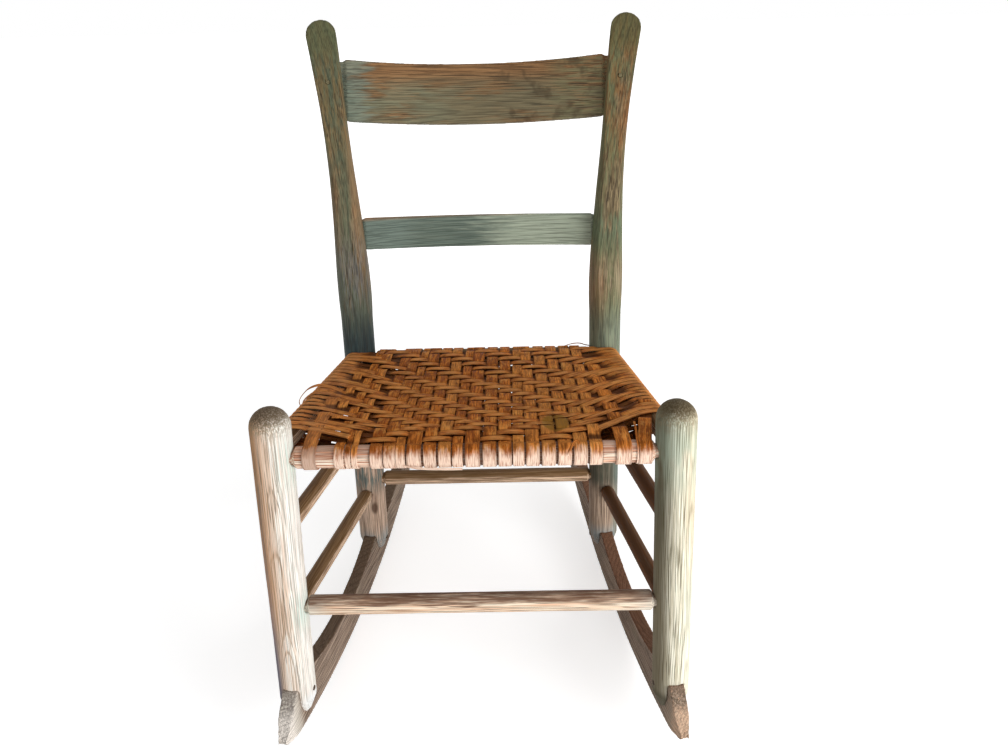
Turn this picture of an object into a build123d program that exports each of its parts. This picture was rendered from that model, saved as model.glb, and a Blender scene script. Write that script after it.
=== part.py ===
# An armless slat-back sewing rocker: four round posts joined by rungs, two bent slats,
# a woven splint seat, and a pair of sawn rockers let into slots in the feet of the posts.
import os
from math import atan2, cos, degrees, radians, sin, sqrt, tan

from build123d import *

os.makedirs("parts", exist_ok=True)

# ------------------------------------------------------------------ driving sizes, in mm
# The chair is laid out on a bench with its rails level: the front posts stand at y = 0,
# the seat runs back along +y, right is +x as seen from in front, and z = 0 is the bench,
# which the rockers touch. The last section tips the chair back to where it comes to rest.

# posts
post_diameter = 44.5
front_spacing = 440.0  # between the axes of the front posts, at the rails
rear_spacing = 357.0  # between the axes of the rear posts, at the rails
seat_depth = 304.0  # from the front post axes to the rear ones
rail_height = 375.0  # axes of the front and back rails above the bench
front_splay = 2.3  # degrees that a front post leans outwards to its foot
rear_splay = 1.05
front_post_rise = 60.0  # top of the dome above the rail
rear_post_rise = 467.0  # the same along the bent post
bend_start = 68.0  # the rear posts run straight this far above the rail
bend_radius = 930.0
bend_turn = 25.5  # degrees that the bend is turned outwards from straight back
waist_diameter = 34.0  # rear post at the crest slat
waist_station = 345.0  # where it is slimmest, along the post from the rail
ear_diameter = 40.5  # rear post at its rounded top
taper_place = 0.45  # share of the way from the seat to the waist, and of the change in size
taper_done = 0.4
flare_place = 0.5  # the same from the waist to the rounded top
flare_done = 0.45
shave_start = 45.0  # the front of a rear post is shaved flat from here up
shave_at_waist = 9.0  # flat in front of the axis at the waist
shave_at_top = 1.5

# rails, stretchers and their round tenons
rail_diameter = 25.0
side_rail_rise = 5.0  # side rails above the front and back ones, to lock their tenons
front_stretcher_diameter = 24.0
rear_stretcher_diameter = 22.0
side_stretcher_diameter = 20.5
front_stretcher_drop = 198.0  # below the rails
rear_stretcher_drop = 198.0
upper_side_drop = 100.0
lower_side_drop = 216.0
tenon_diameter = 16.0
tenon_past_axis = 6.0  # a tenon ends this far beyond the axis of its post
bore_past_tenon = 1.0  # room left at the bottom of a bore
shoulder_length = 3.0
fit_clearance = 0.1  # all round a tenon, a slat end, a rocker or a pin

# slats
slat_thickness = 9.0
slat_bend_radius = 510.0
crest_height = 80.0
crest_station = 374.0  # its middle, along the rear post from the rail
lower_slat_height = 43.5
lower_slat_station = 182.0
slat_past_axis = 4.0
slat_end_thickness = 5.5
slat_bevel_length = 5.5
slat_corner_clip = 2.5

# rockers and the slots that they stand in
rocker_thickness = 19.0
rocker_radius = 900.0
rocker_low_y = 85.0  # where the rockers touch the bench, behind the front posts
toe_reach = 58.0  # ahead of the front post axes
toe_tip_depth = 10.0
tail_reach = 205.0  # behind the rear post axes
tail_tip_depth = 36.0
toe_rounding = 7.5
tail_rounding = 13.0
front_slot_height = 65.0  # ceiling of the slot above the bench
rear_slot_height = 83.0
front_ear_length = 43.0  # the cheeks of the post below that ceiling
rear_ear_length = 28.0
rocker_scoop = 22.0  # hollow of the rocker's top edge between the posts
rocker_scoop_y = 118.0  # where it is deepest
foot_taper_length = 20.0
foot_taper = 7.0

# pins
rocker_pin_diameter = 6.5
rocker_pin_drop = 12.0  # below the ceiling of the slot
crest_peg_diameter = 5.0
crest_peg_offset = 8.0  # above the middle of the crest slat
crest_peg_inset = 1.5
pin_inset = 0.5  # a pin stops this far short of the surface

# splint seat
splint_thickness = 1.2
warp_width = 14.2
weft_width = 9.0
warp_pitch = 15.6
weft_pitch = 10.4
warp_room = 0.5  # the least left between the outer long warps and the rear posts
weft_room = 31.5  # the least from a post's axis to the middle of the first weft
corner_warp_pitch = 20.0  # spacing of the short strips that fill the front corners
corner_warp_count = 2
weave_gap = 0.3  # between strips that cross, and between a strip and its rail
top_settle = 1.4  # the wefts come down this far from the side rails
bottom_lift = 2.9  # the warps come up this far from the front rail, below the seat

post_radius = post_diameter / 2
rail_radius = rail_diameter / 2


# ------------------------------------------------------------------ axes of the posts
# Only the posts at +x are laid out; the ones at -x mirror them.
def front_axis(z):
    """A point on the axis of the front post."""
    return Vector(front_spacing / 2 + tan(radians(front_splay)) * (rail_height - z), 0, z)


def rear_axis(z):
    """A point on the straight part of the rear post's axis."""
    x = rear_spacing / 2 + tan(radians(rear_splay)) * (rail_height - z)
    return Vector(x, seat_depth, z)


straight_up = Vector(-sin(radians(rear_splay)), 0, cos(radians(rear_splay)))
outwards = Vector(cos(radians(rear_splay)), 0, sin(radians(rear_splay)))
bend_side = outwards * sin(radians(bend_turn)) + Vector(0, 1, 0) * cos(radians(bend_turn))
bend_foot = rear_axis(rail_height) + straight_up * bend_start


def post_point(station):
    """A point on the rear post's axis, by its distance along the post from the rail."""
    if station <= bend_start:
        return rear_axis(rail_height) + straight_up * station
    turn = (station - bend_start) / bend_radius
    along = straight_up * (bend_radius * sin(turn))
    return bend_foot + along + bend_side * (bend_radius * (1 - cos(turn)))


def post_direction(station):
    """The direction of the rear post's axis there."""
    turn = max(station - bend_start, 0) / bend_radius
    return straight_up * cos(turn) + bend_side * sin(turn)


def partway(start, end, share):
    """A value that share of the way from start to end."""
    return start + (end - start) * share


def mirrored(piece):
    """The same piece for the other side of the chair."""
    return mirror(piece, about=Plane.YZ)


# ------------------------------------------------------------------ rails and stretchers
def rung(start, end, diameter):
    """A round rung between two post axes, with a shouldered tenon on each end."""
    length = (end - start).length
    along = (end - start).normalized()
    across = along.cross(Vector(0, 0, 1)).normalized()
    tenon_radius = tenon_diameter / 2
    # the posts lean, so the shoulders start clear of them by what they lean over a rung
    surface = post_radius + tan(radians(front_splay)) * diameter / 2 + fit_clearance
    shoulder = surface + shoulder_length
    with BuildPart() as turned:
        with BuildSketch(Plane(origin=start, x_dir=along, z_dir=across)):
            with BuildLine():
                Polyline(
                    (-tenon_past_axis, 0),
                    (-tenon_past_axis, tenon_radius),
                    (surface, tenon_radius),
                    (shoulder, diameter / 2),
                    (length - shoulder, diameter / 2),
                    (length - surface, tenon_radius),
                    (length + tenon_past_axis, tenon_radius),
                    (length + tenon_past_axis, 0),
                    close=True,
                )
            make_face()
        revolve(axis=Axis(start, along))
    return turned.part


def bore(start, towards):
    """The bore for a tenon that enters a post at start from the side of towards."""
    along = (towards - start).normalized()
    bottom = start - along * (tenon_past_axis + bore_past_tenon)
    with BuildPart() as hole:
        with Locations(Plane(origin=bottom, z_dir=along)):
            Cylinder(
                tenon_diameter / 2 + fit_clearance,
                post_diameter + bore_past_tenon,
                align=(Align.CENTER, Align.CENTER, Align.MIN),
            )
    return hole.part


def opposite(point):
    """The point across the chair."""
    return Vector(-point.X, point.Y, point.Z)


side_rail_height = rail_height + side_rail_rise
front_rail_end = front_axis(rail_height)
back_rail_end = rear_axis(rail_height)
side_rail_ends = (front_axis(side_rail_height), rear_axis(side_rail_height))
front_stretcher_end = front_axis(rail_height - front_stretcher_drop)
rear_stretcher_end = rear_axis(rail_height - rear_stretcher_drop)
upper_side_ends = (
    front_axis(rail_height - upper_side_drop),
    rear_axis(rail_height - upper_side_drop),
)
lower_side_ends = (
    front_axis(rail_height - lower_side_drop),
    rear_axis(rail_height - lower_side_drop),
)

# The side rails go in last, and their bores notch the tenons of the other two rails.
front_side_bore = bore(side_rail_ends[0], side_rail_ends[1])
rear_side_bore = bore(side_rail_ends[1], side_rail_ends[0])

with BuildPart() as front_rail:
    add(rung(opposite(front_rail_end), front_rail_end, rail_diameter))
    add(front_side_bore, mode=Mode.SUBTRACT)
    add(mirrored(front_side_bore), mode=Mode.SUBTRACT)

with BuildPart() as back_rail:
    add(rung(opposite(back_rail_end), back_rail_end, rail_diameter))
    add(rear_side_bore, mode=Mode.SUBTRACT)
    add(mirrored(rear_side_bore), mode=Mode.SUBTRACT)

side_rail = rung(*side_rail_ends, rail_diameter)
front_stretcher = rung(
    opposite(front_stretcher_end), front_stretcher_end, front_stretcher_diameter
)
rear_stretcher = rung(
    opposite(rear_stretcher_end), rear_stretcher_end, rear_stretcher_diameter
)
upper_side_stretcher = rung(*upper_side_ends, side_stretcher_diameter)
lower_side_stretcher = rung(*lower_side_ends, side_stretcher_diameter)


# ------------------------------------------------------------------ slats
def slat(station, height, grow):
    """A bent slat between the rear posts, made larger all round by grow to cut mortises."""
    centre = post_point(station)
    lean = post_direction(station)
    middle = Vector(0, centre.Y, centre.Z)
    up = Vector(0, lean.Y, lean.Z).normalized()
    half_length = centre.X + slat_past_axis + grow
    centre_depth = sqrt(slat_bend_radius**2 - centre.X**2)
    front_radius = slat_bend_radius - slat_thickness / 2 - grow
    back_radius = slat_bend_radius + slat_thickness / 2 + grow
    cheek = slat_thickness - slat_end_thickness
    shoulder = centre.X - waist_diameter / 2
    bevel = shoulder - slat_bevel_length
    past_end = half_length + slat_bevel_length

    def front_face(x):
        return sqrt(front_radius**2 - x**2) - centre_depth

    with BuildPart() as bent:
        with BuildSketch(Plane(origin=middle, x_dir=(1, 0, 0), z_dir=up)):
            with Locations((0, -centre_depth)):
                Circle(back_radius)
                Circle(front_radius, mode=Mode.SUBTRACT)
            Rectangle(2 * half_length, slat_bend_radius, mode=Mode.INTERSECT)
            for side in (1, -1):
                with BuildLine():
                    Polyline(
                        (side * bevel, front_face(bevel)),
                        (side * shoulder, front_face(shoulder) + cheek),
                        (side * past_end, front_face(half_length) + cheek),
                        (side * past_end, -slat_bend_radius),
                        (side * bevel, -slat_bend_radius),
                        close=True,
                    )
                make_face(mode=Mode.SUBTRACT)
        extrude(amount=height / 2 + grow, both=True)
        with BuildSketch(Plane(origin=middle, x_dir=(1, 0, 0), z_dir=up.cross(Vector(1, 0, 0)))):
            Rectangle(2 * half_length, height - 2 * slat_corner_clip + 2 * grow)
            with BuildLine():
                Polyline(
                    (-shoulder, height / 2 - slat_corner_clip),
                    (-bevel, height / 2 + grow),
                    (bevel, height / 2 + grow),
                    (shoulder, height / 2 - slat_corner_clip),
                    (shoulder, slat_corner_clip - height / 2),
                    (bevel, -height / 2 - grow),
                    (-bevel, -height / 2 - grow),
                    (-shoulder, slat_corner_clip - height / 2),
                    close=True,
                )
            make_face()
        extrude(amount=slat_bend_radius / 2, both=True, mode=Mode.INTERSECT)
    return bent.part


# One peg through each rear post holds the crest slat; the lower slat is only trapped.
peg_station = crest_station + crest_peg_offset
peg_centre = post_point(peg_station)
peg_up = Vector(0, post_direction(peg_station).Y, post_direction(peg_station).Z)
peg_direction = peg_up.normalized().cross(Vector(1, 0, 0))
peg_front = peg_centre - peg_direction * (shave_at_waist - crest_peg_inset)
peg_length = shave_at_waist + waist_diameter / 2 - 2 * crest_peg_inset


def crest_peg(grow, reach):
    """The peg, or with some grow and reach the hole for it."""
    with BuildPart() as pin:
        with Locations(Plane(origin=peg_front - peg_direction * reach, z_dir=peg_direction)):
            Cylinder(
                crest_peg_diameter / 2 + grow,
                peg_length + reach + grow,
                align=(Align.CENTER, Align.CENTER, Align.MIN),
            )
    return pin.part


peg_hole = crest_peg(fit_clearance, post_radius)

with BuildPart() as crest_slat:
    add(slat(crest_station, crest_height, 0))
    add(peg_hole, mode=Mode.SUBTRACT)
    add(mirrored(peg_hole), mode=Mode.SUBTRACT)

lower_slat = slat(lower_slat_station, lower_slat_height, 0)

# ------------------------------------------------------------------ rockers
# A rocker is drawn in its own upright plane: s runs back from the front post's slot.
front_slot = front_axis(front_slot_height)
rear_slot = rear_axis(rear_slot_height)
rocker_origin = Vector(front_slot.X, front_slot.Y, 0)
rocker_run = Vector(rear_slot.X, rear_slot.Y, 0) - rocker_origin
rocker_along = rocker_run.normalized()
rocker_plane = Plane(
    origin=rocker_origin, x_dir=rocker_along, z_dir=rocker_along.cross(Vector(0, 0, 1))
)
stretch = rocker_run.length / seat_depth
low_s = rocker_low_y * stretch
rear_s = rocker_run.length
toe_s = -toe_reach * stretch
tail_s = rear_s + tail_reach * stretch
seat_half = post_radius + fit_clearance


def sole(s):
    """Height of the rocker's curved sole."""
    return rocker_radius - sqrt(rocker_radius**2 - (s - low_s) ** 2)


def pin_places():
    """The front and rear pins: their distances along the rocker, and their heights."""
    return (
        (0, front_slot_height - rocker_pin_drop),
        (rear_s, rear_slot_height - rocker_pin_drop),
    )


scoop_share = rocker_scoop_y / seat_depth
scoop_s = rear_s * scoop_share
scoop_height = partway(front_slot_height, rear_slot_height, scoop_share) - rocker_scoop
with BuildPart() as rocker:
    with BuildSketch(rocker_plane):
        with BuildLine():
            ThreePointArc((toe_s, sole(toe_s)), (low_s, 0), (tail_s, sole(tail_s)))
            Polyline(
                (tail_s, sole(tail_s)),
                (tail_s, sole(tail_s) + tail_tip_depth),
                (rear_s + seat_half, rear_slot_height),
                (rear_s - seat_half, rear_slot_height),
            )
            ThreePointArc(
                (rear_s - seat_half, rear_slot_height),
                (scoop_s, scoop_height),
                (seat_half, front_slot_height),
            )
            Polyline(
                (seat_half, front_slot_height),
                (-seat_half, front_slot_height),
                (toe_s, sole(toe_s) + toe_tip_depth),
                (toe_s, sole(toe_s)),
            )
        make_face()
    extrude(amount=rocker_thickness / 2, both=True)
    upright_edges = rocker.edges().filter_by(Axis(rocker_origin, rocker_plane.z_dir))
    by_length = upright_edges.sort_by(Axis.Y)
    fillet(by_length[:2], toe_rounding)
    fillet(by_length[-2:], tail_rounding)
    for pin_s, pin_z in pin_places():
        with BuildSketch(rocker_plane):
            with Locations((pin_s, pin_z)):
                Circle(rocker_pin_diameter / 2 + fit_clearance)
        extrude(amount=rocker_thickness, both=True, mode=Mode.SUBTRACT)


def rocker_pins(grow, length):
    """Both pins of a rocker, or with some grow the holes for them."""
    with BuildPart() as pins:
        for pin_s, pin_z in pin_places():
            with BuildSketch(rocker_plane):
                with Locations((pin_s, pin_z)):
                    Circle(rocker_pin_diameter / 2 + grow)
            extrude(amount=length / 2, both=True)
    return pins.part


rocker_pin_length = post_diameter - 2 * pin_inset
rocker_pin_holes = rocker_pins(fit_clearance, 2 * post_diameter)


def slot(foot, ceiling):
    """The open slot in the foot of a post that the rocker stands in."""
    with BuildPart() as cut:
        with BuildSketch(Plane(origin=Vector(foot.X, foot.Y, 0), x_dir=rocker_along)):
            Rectangle(2 * post_diameter, rocker_thickness + 2 * fit_clearance)
        extrude(amount=ceiling + fit_clearance)
    return cut.part


# ------------------------------------------------------------------ posts
def foot_profile(foot, top):
    """Half of a post's outline, with its tapered foot and straight side, for turning."""
    length = (top - foot).length
    upright = Plane(origin=foot, x_dir=top - foot, z_dir=(0, -1, 0))
    with BuildSketch(upright) as outline:
        with BuildLine():
            Polyline(
                (0, 0),
                (0, post_radius - foot_taper),
                (foot_taper_length, post_radius),
                (length, post_radius),
                (length, 0),
                close=True,
            )
        make_face()
    return outline.sketch


front_foot = front_axis(front_slot_height - front_ear_length)
dome_centre = front_axis(rail_height + front_post_rise - post_radius)

with BuildPart() as front_post:
    add(foot_profile(front_foot, dome_centre))
    revolve(axis=Axis(front_foot, dome_centre - front_foot))
    with Locations(dome_centre):
        Sphere(post_radius)
    add(bore(front_rail_end, opposite(front_rail_end)), mode=Mode.SUBTRACT)
    add(front_side_bore, mode=Mode.SUBTRACT)
    add(bore(front_stretcher_end, opposite(front_stretcher_end)), mode=Mode.SUBTRACT)
    add(bore(*upper_side_ends), mode=Mode.SUBTRACT)
    add(bore(*lower_side_ends), mode=Mode.SUBTRACT)
    add(slot(front_slot, front_slot_height), mode=Mode.SUBTRACT)
    add(rocker_pin_holes, mode=Mode.SUBTRACT)

rear_foot = rear_axis(rear_slot_height - rear_ear_length)
ear_station = rear_post_rise - ear_diameter / 2


# Diameter of the bent part at stations along it; it is turned before it is bent.
turned_sizes = (
    (bend_start, post_diameter),
    (
        partway(bend_start, waist_station, taper_place),
        partway(post_diameter, waist_diameter, taper_done),
    ),
    (waist_station, waist_diameter),
    (
        partway(waist_station, ear_station, flare_place),
        partway(waist_diameter, ear_diameter, flare_done),
    ),
    (ear_station, ear_diameter),
)


def shave_line():
    """The flat front of a rear post in side view, from the seat up to the top."""
    start = post_point(shave_start)
    waist = post_point(waist_station)
    top = post_point(rear_post_rise)
    return (
        (start.Y - post_radius, start.Z),
        (waist.Y - shave_at_waist, waist.Z),
        (top.Y - shave_at_top, top.Z),
    )


with BuildPart() as rear_post:
    add(foot_profile(rear_foot, bend_foot))
    revolve(axis=Axis(rear_foot, straight_up))
    for station, size in turned_sizes:
        upward = post_direction(station)
        level = Plane(post_point(station), x_dir=bend_side.cross(upward), z_dir=upward)
        with BuildSketch(level):
            Circle(size / 2)
    loft()
    with Locations(post_point(ear_station)):
        Sphere(ear_diameter / 2)
    with BuildSketch(Plane.YZ):
        with BuildLine():
            flat = Spline(*shave_line())
            Polyline(
                flat @ 1,
                flat @ 1 + Vector(0, post_diameter),
                flat @ 0 + Vector(-post_diameter, rear_post_rise),
                flat @ 0 + Vector(-post_diameter, 0),
                flat @ 0,
            )
        make_face()
    extrude(amount=front_spacing, mode=Mode.SUBTRACT)
    add(bore(back_rail_end, opposite(back_rail_end)), mode=Mode.SUBTRACT)
    add(rear_side_bore, mode=Mode.SUBTRACT)
    add(bore(rear_stretcher_end, opposite(rear_stretcher_end)), mode=Mode.SUBTRACT)
    add(bore(*reversed(upper_side_ends)), mode=Mode.SUBTRACT)
    add(bore(*reversed(lower_side_ends)), mode=Mode.SUBTRACT)
    add(slot(rear_slot, rear_slot_height), mode=Mode.SUBTRACT)
    add(rocker_pin_holes, mode=Mode.SUBTRACT)
    add(slat(crest_station, crest_height, fit_clearance), mode=Mode.SUBTRACT)
    add(slat(lower_slat_station, lower_slat_height, fit_clearance), mode=Mode.SUBTRACT)
    add(peg_hole, mode=Mode.SUBTRACT)

# ------------------------------------------------------------------ woven splint seat
# Each strip is a flat band that goes over the seat, round a rail and back below it. Warps
# run from front to back and wefts from side to side, over two and under two, and each
# row is one strip further on than the row behind it.
wrap_radius = rail_radius + weave_gap + splint_thickness / 2
lift = (splint_thickness + weave_gap) / 2
top_level = side_rail_height + wrap_radius - top_settle
bottom_level = rail_height - wrap_radius + bottom_lift
side_slope = (side_rail_ends[0].X - side_rail_ends[1].X) / seat_depth
# A weft is cut square while its rail runs at a slant, so it stands off a little further.
side_wrap_radius = wrap_radius + side_slope * weft_width / 2 + weave_gap / 2

warp_span = rear_spacing - post_diameter - warp_width - 2 * warp_room
warp_count = int(warp_span / warp_pitch) + 1
weft_count = int((seat_depth - 2 * weft_room) / weft_pitch) + 1
main_warps = [(i - (warp_count - 1) / 2) * warp_pitch for i in range(warp_count)]
corner_warps = [main_warps[-1] + (i + 1) * corner_warp_pitch for i in range(corner_warp_count)]
warp_places = [-x for x in reversed(corner_warps)] + main_warps + corner_warps
weft_places = [
    seat_depth / 2 + (j - (weft_count - 1) / 2) * weft_pitch for j in range(weft_count)
]


def side_rail_x(y):
    """The side rail's axis where a weft goes round it."""
    return side_rail_ends[0].X - side_slope * y


def warp_reach(x):
    """How far back a warp at x can go before it meets the side rail's wrapping."""
    room = side_rail_x(0) - side_wrap_radius - splint_thickness - warp_width / 2
    return (room - abs(x)) / side_slope


def warp_on_top(warp, weft):
    """Over two and under two, one strip further on in each row."""
    return (warp + weft) % 4 < 2


def is_long(number):
    """Whether a warp is one of those that reach the back rail."""
    return corner_warp_count <= number < corner_warp_count + warp_count


def crossed_warps(weft):
    """The warps that a weft crosses, as their numbers from the left."""
    far_edge = weft_places[weft] + weft_width
    return [n for n, x in enumerate(warp_places) if is_long(n) or warp_reach(x) > far_edge]


def wave(places, width, signs, level):
    """The middle of a strip along one face of the seat: level where it crosses the others."""
    points = []
    for place, sign in zip(places, signs):
        height = level + sign * lift
        points.append((place - width / 2, height))
        points.append((place + width / 2, height))
    # a point between two at its own height only divides a straight run
    inner = zip(points, points[1:], points[2:])
    kept = [b for a, b, c in inner if not a[1] == b[1] == c[1]]
    return [points[0]] + kept + [points[-1]]


def band(plane, top, bottom, near, far):
    """A closed band seen edge on; near and far are its half turns, as centre and radius."""
    half = splint_thickness / 2
    with BuildSketch(plane) as section:
        for grow, mode in ((half, Mode.ADD), (-half, Mode.SUBTRACT)):
            ends = []
            for (u, v, radius), way in ((near, -1), (far, 1)):
                rim = radius + grow
                ends.append(((u, v + rim), (u + way * rim, v), (u, v - rim)))
            with BuildLine():
                Polyline(ends[0][0], *[(u, v + grow) for u, v in top], ends[1][0])
                ThreePointArc(*ends[1])
                Polyline(ends[1][2], *[(u, v - grow) for u, v in reversed(bottom)], ends[0][2])
                ThreePointArc(*reversed(ends[0]))
            make_face(mode=mode)
    return section.sketch


def long_warp(number):
    """A warp that goes round both the front rail and the back one."""
    signs = [1 if warp_on_top(number, weft) else -1 for weft in range(weft_count)]
    x = warp_places[number]
    section = band(
        Plane.YZ.offset(x - warp_width / 2),
        wave(weft_places, weft_width, signs, top_level),
        wave(weft_places, weft_width, signs, bottom_level),
        (0, rail_height, wrap_radius),
        (seat_depth, rail_height, wrap_radius),
    )
    with BuildPart() as strip:
        extrude(section, amount=warp_width)
    return strip.part


def corner_warp(number):
    """A short warp: round the front rail, with both ends tucked into the weave."""
    half = splint_thickness / 2
    x = warp_places[number]
    crossed = [weft for weft in range(weft_count) if number in crossed_warps(weft)]
    signs = [1 if warp_on_top(number, weft) else -1 for weft in crossed]
    places = [weft_places[weft] for weft in crossed]
    over = [(0, rail_height + wrap_radius)] + wave(places, weft_width, signs, top_level)
    under = [(0, rail_height - wrap_radius)] + wave(places, weft_width, signs, bottom_level)
    with BuildPart() as strip:
        with BuildSketch(Plane.YZ.offset(x - warp_width / 2)):
            with BuildLine():
                outer = Polyline(*[(u, v + half) for u, v in over])
                inner = Polyline(*[(u, v - half) for u, v in over])
                low_outer = Polyline(*[(u, v - half) for u, v in under])
                low_inner = Polyline(*[(u, v + half) for u, v in under])
                Line(outer @ 1, inner @ 1)
                Line(low_outer @ 1, low_inner @ 1)
                for rim, start, end in (
                    (wrap_radius + half, outer @ 0, low_outer @ 0),
                    (wrap_radius - half, inner @ 0, low_inner @ 0),
                ):
                    ThreePointArc(start, (-rim, rail_height), end)
            make_face()
        extrude(amount=warp_width)
    return strip.part


def weft(row):
    """A weft that goes round both side rails."""
    y = weft_places[row]
    crossed = crossed_warps(row)
    signs = [-1 if warp_on_top(number, row) else 1 for number in crossed]
    places = [warp_places[number] for number in crossed]
    x = side_rail_x(y)
    section = band(
        Plane.XZ.offset(-y - weft_width / 2),
        wave(places, warp_width, signs, top_level),
        wave(places, warp_width, signs, bottom_level),
        (-x, side_rail_height, side_wrap_radius),
        (x, side_rail_height, side_wrap_radius),
    )
    with BuildPart() as strip:
        extrude(section, amount=weft_width)
    return strip.part


warps = []
for number in range(len(warp_places)):
    warps.append(long_warp(number) if is_long(number) else corner_warp(number))
seat_warp = Compound(warps)
seat_weft = Compound([weft(row) for row in range(weft_count)])

# ------------------------------------------------------------------ the pieces, in order
right_pins = rocker_pins(0, rocker_pin_length)
right_peg = crest_peg(0, 0)
pieces = {
    "front_post_right": front_post.part,
    "front_post_left": mirrored(front_post.part),
    "rear_post_right": rear_post.part,
    "rear_post_left": mirrored(rear_post.part),
    "crest_slat": crest_slat.part,
    "lower_slat": lower_slat,
    "front_rail": front_rail.part,
    "back_rail": back_rail.part,
    "side_rail_right": side_rail,
    "side_rail_left": mirrored(side_rail),
    "front_stretcher": front_stretcher,
    "rear_stretcher": rear_stretcher,
    "upper_side_stretcher_right": upper_side_stretcher,
    "upper_side_stretcher_left": mirrored(upper_side_stretcher),
    "lower_side_stretcher_right": lower_side_stretcher,
    "lower_side_stretcher_left": mirrored(lower_side_stretcher),
    "rocker_right": rocker.part,
    "rocker_left": mirrored(rocker.part),
    "rocker_pins": Compound([right_pins, mirrored(right_pins)]),
    "crest_pegs": Compound([right_peg, mirrored(right_peg)]),
    "seat_warp": seat_warp,
    "seat_weft": seat_weft,
}

# ------------------------------------------------------------------ how the chair rests
# It tips back until its centre of mass lies straight below the centre of the rockers'
# curve. All the wood has about one density, so volume stands for mass.
volume = sum(piece.volume for piece in pieces.values())
moments = [piece.center(CenterOf.MASS) * piece.volume for piece in pieces.values()]
mass_y = sum(moment.Y for moment in moments) / volume
mass_z = sum(moment.Z for moment in moments) / volume
lean = atan2(mass_y - rocker_low_y, rocker_radius - mass_z)
print("centre of mass on the bench: y %.2f, z %.2f" % (mass_y, mass_z))
print("the chair rests tipped back %.3f degrees" % degrees(lean))

tipped = Location((0, 0, 0), (-degrees(lean), 0, 0))
curve_centre = Vector(0, rocker_low_y, rocker_radius).rotate(Axis.X, -degrees(lean))
box = Compound([piece.moved(tipped) for piece in pieces.values()]).bounding_box(optimal=True)
to_floor = Location((0, -(box.min.Y + box.max.Y) / 2, rocker_radius - curve_centre.Z))
rest = to_floor * tipped
print("bench to rest: y %.3f, z %.3f" % (rest.position.Y, rest.position.Z))

for label, piece in pieces.items():
    placed = piece.moved(rest)
    placed.label = label
    export_step(placed, "parts/%s.step" % label)
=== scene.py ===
import random
from math import cos, pi, radians, sin, sqrt

import bmesh
import bpy
from mathutils import Matrix, Vector


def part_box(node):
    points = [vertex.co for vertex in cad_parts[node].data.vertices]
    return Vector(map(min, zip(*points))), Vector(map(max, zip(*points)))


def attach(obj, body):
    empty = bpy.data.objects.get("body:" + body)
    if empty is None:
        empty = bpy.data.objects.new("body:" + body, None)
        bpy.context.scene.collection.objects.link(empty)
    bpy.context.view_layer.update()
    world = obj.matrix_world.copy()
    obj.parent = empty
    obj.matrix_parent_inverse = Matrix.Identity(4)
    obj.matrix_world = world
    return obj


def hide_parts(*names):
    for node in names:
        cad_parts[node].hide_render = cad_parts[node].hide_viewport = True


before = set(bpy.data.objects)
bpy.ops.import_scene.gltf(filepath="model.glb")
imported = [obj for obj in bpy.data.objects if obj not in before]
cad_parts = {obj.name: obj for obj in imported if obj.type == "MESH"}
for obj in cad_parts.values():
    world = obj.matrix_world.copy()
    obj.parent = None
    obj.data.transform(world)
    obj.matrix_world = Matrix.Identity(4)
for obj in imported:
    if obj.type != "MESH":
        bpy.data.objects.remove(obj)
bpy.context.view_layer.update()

# ---- how the chair rests
# The chair was put together with its rails level on a bench, and it rests tipped back. Sizes
# below are in metres on that bench: x to the right, y from the front posts back, z up.
stretcher_height = 0.177
seat_depth = 0.304


def middle(node):
    """The middle of a node's box."""
    low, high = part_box(node)
    return (low + high) / 2


front_stretcher_middle = middle("front_stretcher")
to_rear_stretcher = middle("rear_stretcher") - front_stretcher_middle
lean = Vector((0, 1, 0)).angle(to_rear_stretcher)
bench_to_rest = (
    Matrix.Translation(front_stretcher_middle)
    @ Matrix.Rotation(-lean, 4, "X")
    @ Matrix.Translation((0, 0, -stretcher_height))
)
rest_to_bench = bench_to_rest.inverted()

# ---- camera
# A wide lens at eye height in front of the chair, looking down on the seat. It is held a
# little crooked.
image_width = 1008
focal_pixels = 760.0
eye = Vector((0.0438, -0.7381, 0.7622))
looks_down = radians(22.01)
looks_left = radians(0.7)
crooked = radians(-1.38)


def in_scene(name, data):
    """A new object in the scene."""
    thing = bpy.data.objects.new(name, data)
    bpy.context.scene.collection.objects.link(thing)
    return thing


lens = bpy.data.cameras.new("camera")
lens.sensor_width = 36.0
lens.lens = focal_pixels / image_width * lens.sensor_width
camera = in_scene("camera", lens)
camera.matrix_world = (
    bench_to_rest
    @ Matrix.Translation(eye)
    @ Matrix.Rotation(looks_left, 4, "Z")
    @ Matrix.Rotation(pi / 2 - looks_down, 4, "X")
    @ Matrix.Rotation(crooked, 4, "Z")
)
bpy.context.scene.camera = camera


# ---- wood: how its surface looks
# Every wooden piece is old ring-porous hardwood. Its grain is drawn in the piece's own
# straightened coordinates, kept on its mesh as "grain": x and y across, z along the fibres.
def tone(colour):
    """A colour given as it looks on a screen, from 0 to 255, as the shaders take it."""
    def linear(c):
        share = c / 255
        return share / 12.92 if share <= 0.04045 else ((share + 0.055) / 1.055) ** 2.4
    return (*map(linear, colour), 1.0)


def put(tree, kind, links=None, out=0, **settings):
    """Adds a node and gives one of its outputs, or with None all of them by their names."""
    node = tree.nodes.new(kind)
    for name, value in settings.items():
        setattr(node, name, value)
    for place, value in (links or {}).items():
        if isinstance(value, Value):
            tree.links.new(value.socket, node.inputs[place])
        else:
            node.inputs[place].default_value = value
    if out is None:
        return {socket.name: Value(socket) for socket in node.outputs}
    return Value(node.outputs[out])


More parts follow.
